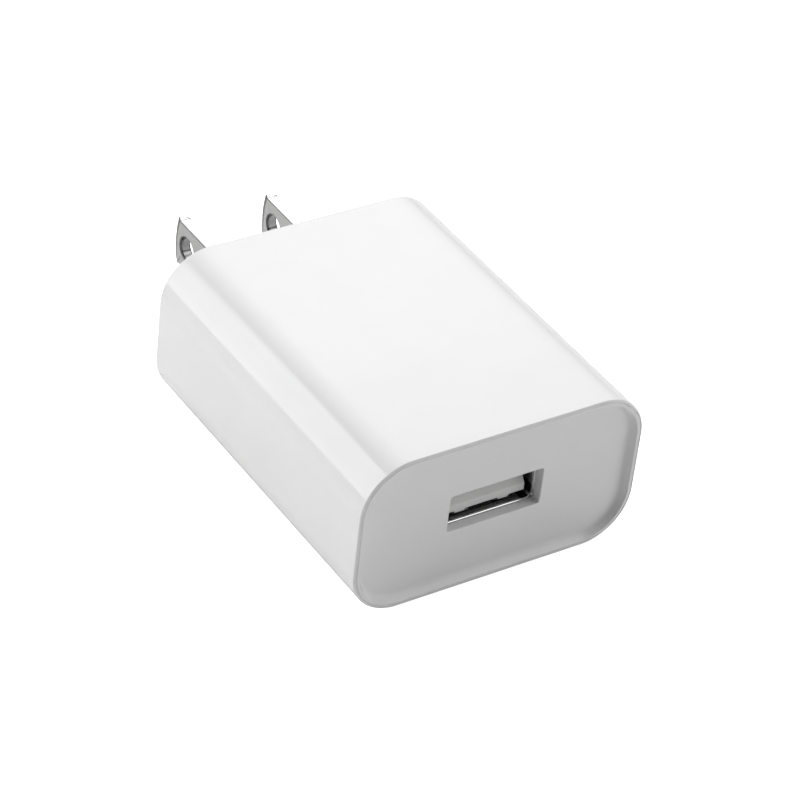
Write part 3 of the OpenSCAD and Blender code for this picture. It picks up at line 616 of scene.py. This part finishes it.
def make_blade(name, plating, edge_metal_painted_shade, bore_metal_painted_shade):
    """A blade with a bevelled, slightly bowed tip and a round hole with a broken edge."""
    lo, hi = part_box(name)
    x0, half_t = (lo[0] + hi[0]) / 2, (hi[0] - lo[0]) / 2
    hole_y = hi[1] - HOLE_BACK
    outline = blade_outline(hi[1], hole_y - HOLE_BACK)
    tips = ACROSS + 1
    first, last = tips + ALONG - 1, tips + ALONG + ACROSS - 1
    angles = [math.atan2(z, y - hole_y) for y, z in outline]
    made = bmesh.new()

    def hole_ring(x, radius):
        return [made.verts.new((x, hole_y + radius * math.cos(a), radius * math.sin(a)))
                for a in angles]

    sides = []
    for s in (-1, 1):
        x = x0 + s * half_t
        flat = [made.verts.new((x, y - (TIP_BEVEL_L if i < tips else 0), z))
                for i, (y, z) in enumerate(outline)]
        rim = hole_ring(x, HOLE_R + HOLE_EDGE + 0.2 * MM)
        lip = hole_ring(x, HOLE_R + HOLE_EDGE)
        wall = hole_ring(x - s * HOLE_EDGE, HOLE_R)
        bridge(made, rim, flat)
        bridge(made, lip, rim)
        # the hole's broken edge takes the near-black metal as painted shade
        bridge(made, wall, lip, 1)
        root = [made.verts.new((x, BLADE_ROOT_Y, z)) for z in (BLADE_H / 2, -BLADE_H / 2)]
        made.faces.new([root[1], *reversed(flat[first:last + 1]), root[0]])
        edge = [made.verts.new((x0 + s * (half_t - TIP_BEVEL), y, z)) for y, z in outline[:tips]]
        # the tip's bevels take the near-black metal as painted shade
        for i in range(tips - 1):
            made.faces.new((flat[i], flat[i + 1], edge[i + 1], edge[i])).material_index = 1
        sides.append((flat, wall, root, edge))
    (flat_a, wall_a, root_a, edge_a), (flat_b, wall_b, root_b, edge_b) = sides
    # the hole's wall takes the darker metal as painted shade
    bridge(made, wall_a, wall_b, 2)
    # the tip's end face takes the near-black metal as painted shade
    for i in range(tips - 1):
        made.faces.new((edge_a[i], edge_a[i + 1], edge_b[i + 1], edge_b[i])).material_index = 1
    for i in (0, tips - 1):
        made.faces.new((flat_a[i], edge_a[i], edge_b[i], flat_b[i]))
    for i in [*range(tips - 1, first), *range(last, len(outline))]:
        j = (i + 1) % len(outline)
        made.faces.new((flat_a[i], flat_a[j], flat_b[j], flat_b[i]))
    for i, k in ((first, 0), (last, 1)):
        made.faces.new((flat_a[i], root_a[k], root_b[k], flat_b[i]))
    made.faces.new((*root_a, *reversed(root_b)))
    piece = finish_mesh(f"{name}_plated", made, plating, sharp=30)
    piece.data.materials.append(edge_metal_painted_shade)
    piece.data.materials.append(bore_metal_painted_shade)
    # all rounded edges take the near-black metal as painted shade
    soften(piece, 0.18 * MM, angle=32, edge_skin=1)
    ride(piece, "charger", "blade_nickel", name)
    foot = finish_mesh(f"{name}_foot", box_mesh(lo, (hi[0], BLADE_ROOT_Y, hi[2])), plating)
    soften(foot, 0.1 * MM)
    ride(foot, "charger", "blade_nickel")


# ---------- USB receptacle ----------

def usb_ring(out, y):
    """The receptacle's inside outline at depth y, moved out by out."""
    return rounded_ring(USB_W + 2 * out, USB_H + 2 * out, USB_R + out, y, PORT_Z, USB_ARC)


def make_usb_shell(steel, inner_steel_painted_shade):
    """The drawn shell: its mouth flares out, its floor has two slots, and two legs hold it."""
    front, back, t = USB_FRONT_Y, USB_BACK_Y, USB_SHEET
    flare_l = 0.4 * MM
    flare_out = 0.24 * MM
    round_l = 0.12 * MM
    share = [k / 6 for k in range(7)]
    # the inside and its flare, the rolled lip, then the outside
    rows = [(0, back), (0, front + flare_l + 0.5 * MM)]
    rows += [(flare_out * k * k, front + flare_l * (1 - k)) for k in share]
    rows += [(flare_out + t / 2, front - 0.02 * MM), (flare_out + t, front + round_l)]
    rows += [(flare_out * (1 - k) ** 2 + t, front + flare_l * k + round_l) for k in share[1:]]
    rows += [(t, back)]
    made = loft([usb_ring(a, b) for a, b in rows], closed=True)
    # the first strip of faces is the inside, which takes the darker steel as painted shade
    made.faces.ensure_lookup_table()
    for face in made.faces[:len(usb_ring(0, back))]:
        face.material_index = 1
    shell = finish_mesh("usb_shell_steel", made, steel)
    shell.data.materials.append(inner_steel_painted_shade)
    gap = 0.2 * MM
    for side in ("left", "right"):
        lo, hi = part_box(f"usb_spring_{side}")
        slot = box_mesh((lo[0] - gap, lo[1] - gap, USB_FLOOR_Z - MM),
                        (hi[0] + gap, hi[1] + gap, USB_FLOOR_Z + gap))
        cut(shell, finish_mesh("slot", slot, steel))
    weigh(shell)
    ride(shell, "charger", "usb_steel", "usb_shell")
    leg_y = front + 9.6 * MM
    leg_w = 1.6 * MM
    leg_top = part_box("usb_shell")[1][2]
    for side, s in (("left", -1), ("right", 1)):
        x = s * (USB_W + t) / 2
        block = box_mesh((x - t / 2, leg_y - leg_w / 2, PORT_Z),
                         (x + t / 2, leg_y + leg_w / 2, leg_top))
        leg = finish_mesh(f"usb_shell_leg_{side}", block, steel)
        soften(leg, 0.08 * MM)
        ride(leg, "charger", "usb_steel")


def make_tongue(plastic):
    """The tongue with its grooves, the two guide ribs under its nose, and the block behind."""
    nose, z0, z1 = NOSE_Y, TONGUE_Z0, TONGUE_Z1
    half = 5.55 * MM
    fit = 0.02 * MM
    block_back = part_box("usb_tongue")[1][1]
    block_y = block_back - 2.6 * MM
    # side view of the bar: a blunt nose with a slope on the contact side
    slope_h = 0.86 * MM
    slope_l = 0.62 * MM
    root = block_y + 0.3 * MM
    profile = [(nose, z0), (nose, z1 - slope_h), (nose + slope_l, z1), (root, z1), (root, z0)]
    rings = [[Vector((x, y, z)) for y, z in profile] for x in (-half, half)]
    bar = finish_mesh("tongue_bar", loft(rings, caps=True), plastic)
    groove_y = nose + 0.8 * MM
    groove_w = 1.2 * MM
    groove_d = 0.9 * MM
    for x in CONTACT_X:
        groove = box_mesh((x - groove_w / 2, groove_y, z1 - groove_d),
                          (x + groove_w / 2, block_y - fit, z1 + MM))
        cut(bar, finish_mesh("groove", groove, plastic))
    soften(bar, 0.05 * MM, angle=20)
    ride(bar, "charger", "tongue_white", "usb_tongue")
    rib_w = 1.4 * MM
    rib_l = 2.0 * MM
    rib_h = 0.3 * MM
    sink = 0.1 * MM
    step = 0.01 * MM
    for side, x in (("left", -3.4 * MM), ("right", 2.65 * MM)):
        block = box_mesh((x - rib_w / 2, nose + step, z0 - rib_h),
                         (x + rib_w / 2, nose + rib_l, z0 + sink))
        rib = finish_mesh(f"tongue_rib_{side}", block, plastic)
        soften(rib, 0.05 * MM)
        ride(rib, "charger", "tongue_white")
    rings = [usb_ring(-fit, y) for y in (block_y, block_back)]
    block = finish_mesh("tongue_block", loft(rings, caps=True), plastic)
    soften(block, 0.08 * MM, angle=50)
    ride(block, "charger", "tongue_white")


def make_contacts(gold):
    """The four fingers: each rises from its root to a crest and dips at its tip."""
    thick = 0.2 * MM
    wide = 1.0 * MM
    nose, z1 = NOSE_Y, TONGUE_Z1
    for i, x in enumerate(CONTACT_X, 1):
        node = f"usb_contact_{i}"
        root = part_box(node)[1][1] - thick / 2
        crest = [(nose + 2.9 * MM, z1 + 0.22 * MM), (nose + 2.5 * MM, z1 + 0.25 * MM),
                 (nose + 2.1 * MM, z1 + 0.16 * MM)]
        path = [(root, z1 - 0.55 * MM), *crest, (nose + 1.2 * MM, z1 - 0.35 * MM)]
        finger = ribbon(f"contact_finger_{i}", path, thick, x, wide, gold, bend=0.4 * MM)
        ride(finger, f"contact_{i}", "contact_gold", node)


def make_retention_springs(steel):
    """The two tabs bent up out of the shell's floor."""
    mid = USB_FLOOR_Z - USB_SHEET / 2
    for side in ("left", "right"):
        lo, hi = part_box(f"usb_spring_{side}")
        root, end = lo[1] + USB_SHEET / 2, hi[1] - USB_SHEET / 2
        # a rise to the crest near the free end, then a dip
        path = [(root, mid), (end - 1.3 * MM, mid + 0.38 * MM), (end - 0.9 * MM, mid + 0.4 * MM),
                (end - 0.5 * MM, mid + 0.32 * MM), (end, mid + 0.1 * MM)]
        tab = ribbon(f"retention_tab_{side}", path, USB_SHEET, (lo[0] + hi[0]) / 2,
                     hi[0] - lo[0], steel, bend=0.5 * MM)
        ride(tab, f"retention_{side}", "usb_steel", f"usb_spring_{side}")


# ---------- the CAD nodes that stay ----------

def dress(node, material):
    """Gives a CAD node that stays its material."""
    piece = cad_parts[node]
    for slot in piece.material_slots:
        slot.material = material
    if not piece.material_slots:
        piece.data.materials.append(material)


make_camera()
make_light()
make_floor()

case_white = moulded("case_white", (0.90, 0.90, 0.90), 0.11, 0.35 * MM, 0.0006 * MM)
cover_white = moulded("cover_white", (0.88, 0.88, 0.88), 0.38, 0.12 * MM, 0.004 * MM)
tongue_white = moulded("tongue_white", (0.86, 0.86, 0.85), 0.42, 0.10 * MM, 0.003 * MM)
ivory = moulded("insulator_ivory", (0.80, 0.77, 0.66), 0.5, 0.15 * MM, 0.004 * MM)
nickel = metal("blade_nickel", (0.50, 0.50, 0.495), 0.22, stretch=(1, 0.06, 1))
# near-black metal for the blade's bevels, tip end and hole edge: painted shade
nickel_edge_painted_shade = metal("blade_edge_painted_shade", (0.13, 0.13, 0.13), 0.30, stretch=(1, 0.3, 1))
# darker metal for the blade's hole wall: painted shade
nickel_bore_painted_shade = metal("blade_bore_painted_shade", (0.36, 0.36, 0.36), 0.22, stretch=(1, 0.3, 1))
fine = 0.0005 * MM
usb_steel = metal("usb_steel", (0.60, 0.60, 0.60), 0.10, stretch=(1, 0.1, 1), height=fine)
# the shell's inside: the same steel, darker, as painted shade
usb_inner_painted_shade = metal("usb_steel_inner_painted_shade", (0.30, 0.30, 0.30), 0.16, stretch=(1, 0.1, 1), height=fine)
gold = metal("contact_gold", (0.86, 0.64, 0.28), 0.2, stretch=(1, 0.2, 1))
bronze = metal("spring_bronze", (0.78, 0.52, 0.26), 0.3, stretch=(1, 0.2, 1))
tin = metal("lead_tin", (0.72, 0.72, 0.71), 0.3, grain=0.2 * MM)
solder = metal("solder", (0.76, 0.76, 0.75), 0.25, grain=0.4 * MM, height=0.01 * MM)
aluminium = metal("can_aluminium", (0.80, 0.80, 0.79), 0.3, grain=0.3 * MM)
copper = metal("copper_wire", (0.72, 0.30, 0.14), 0.3, stretch=(0.1, 1, 0.1))
board = moulded("board_green", (0.035, 0.17, 0.07), 0.3, 0.3 * MM, 0.01 * MM)
black = moulded("chip_black", (0.02, 0.02, 0.021), 0.55, 0.08 * MM, 0.006 * MM)
sleeve = moulded("sleeve_black", (0.018, 0.018, 0.02), 0.35, 0.5 * MM, 0.01 * MM)
blue = moulded("sleeve_blue", (0.02, 0.04, 0.14), 0.25, 0.5 * MM, 0.01 * MM)
rubber = moulded("bung_rubber", (0.03, 0.03, 0.03), 0.7, 0.1 * MM, 0.01 * MM)
ferrite = moulded("ferrite", (0.05, 0.05, 0.055), 0.5, 0.06 * MM, 0.006 * MM)
green = moulded("resistor_green", (0.10, 0.26, 0.17), 0.4, 0.2 * MM, 0.01 * MM)
yellow = moulded("tape_yellow", (0.80, 0.55, 0.04), 0.25, 0.8 * MM, 0.01 * MM)
disc = moulded("disc_blue", (0.03, 0.12, 0.48), 0.25, 0.6 * MM, 0.02 * MM)
tan = moulded("ceramic_tan", (0.40, 0.27, 0.16), 0.5, 0.08 * MM, 0.004 * MM)
film = moulded("sheet_white", (0.84, 0.84, 0.82), 0.4, 0.6 * MM, 0.01 * MM)

make_front_shell(case_white)
make_shell_rails(case_white)
make_rear_cover(cover_white)
make_blade("blade_left", nickel, nickel_edge_painted_shade, nickel_bore_painted_shade)
make_blade("blade_right", nickel, nickel_edge_painted_shade, nickel_bore_painted_shade)
make_usb_shell(usb_steel, usb_inner_painted_shade)
make_tongue(tongue_white)
make_contacts(gold)
make_retention_springs(usb_steel)

KEPT = {
    "blade_retainer": ivory, "mains_spring_left": bronze, "mains_spring_right": bronze,
    "circuit_board": board, "solder_joints": solder, "fusible_resistor": green,
    "resistor_leads": tin, "resistor_sleeve": sleeve, "bridge_rectifier": black,
    "bridge_leads": tin, "input_capacitor_left": aluminium, "input_capacitor_right": aluminium,
    "output_capacitor": aluminium, "capacitor_sleeves": blue, "capacitor_bungs": rubber,
    "capacitor_leads": tin, "choke_core": ferrite, "choke_winding": copper,
    "choke_sleeve": sleeve, "transformer_core_front": ferrite, "transformer_core_rear": ferrite,
    "transformer_former": ivory, "primary_winding": copper, "secondary_winding": copper,
    "winding_tape": yellow, "transformer_pins": tin, "safety_capacitor": disc,
    "safety_capacitor_leads": tin, "controller_chip": black, "controller_leads": tin,
    "output_diode": black, "diode_leads": tin, "chip_resistors": black,
    "chip_capacitors": tan, "chip_ends": tin, "insulation_sheet": film,
    "usb_contact_tails": gold,
}
for node_name, skin in KEPT.items():
    dress(node_name, skin)
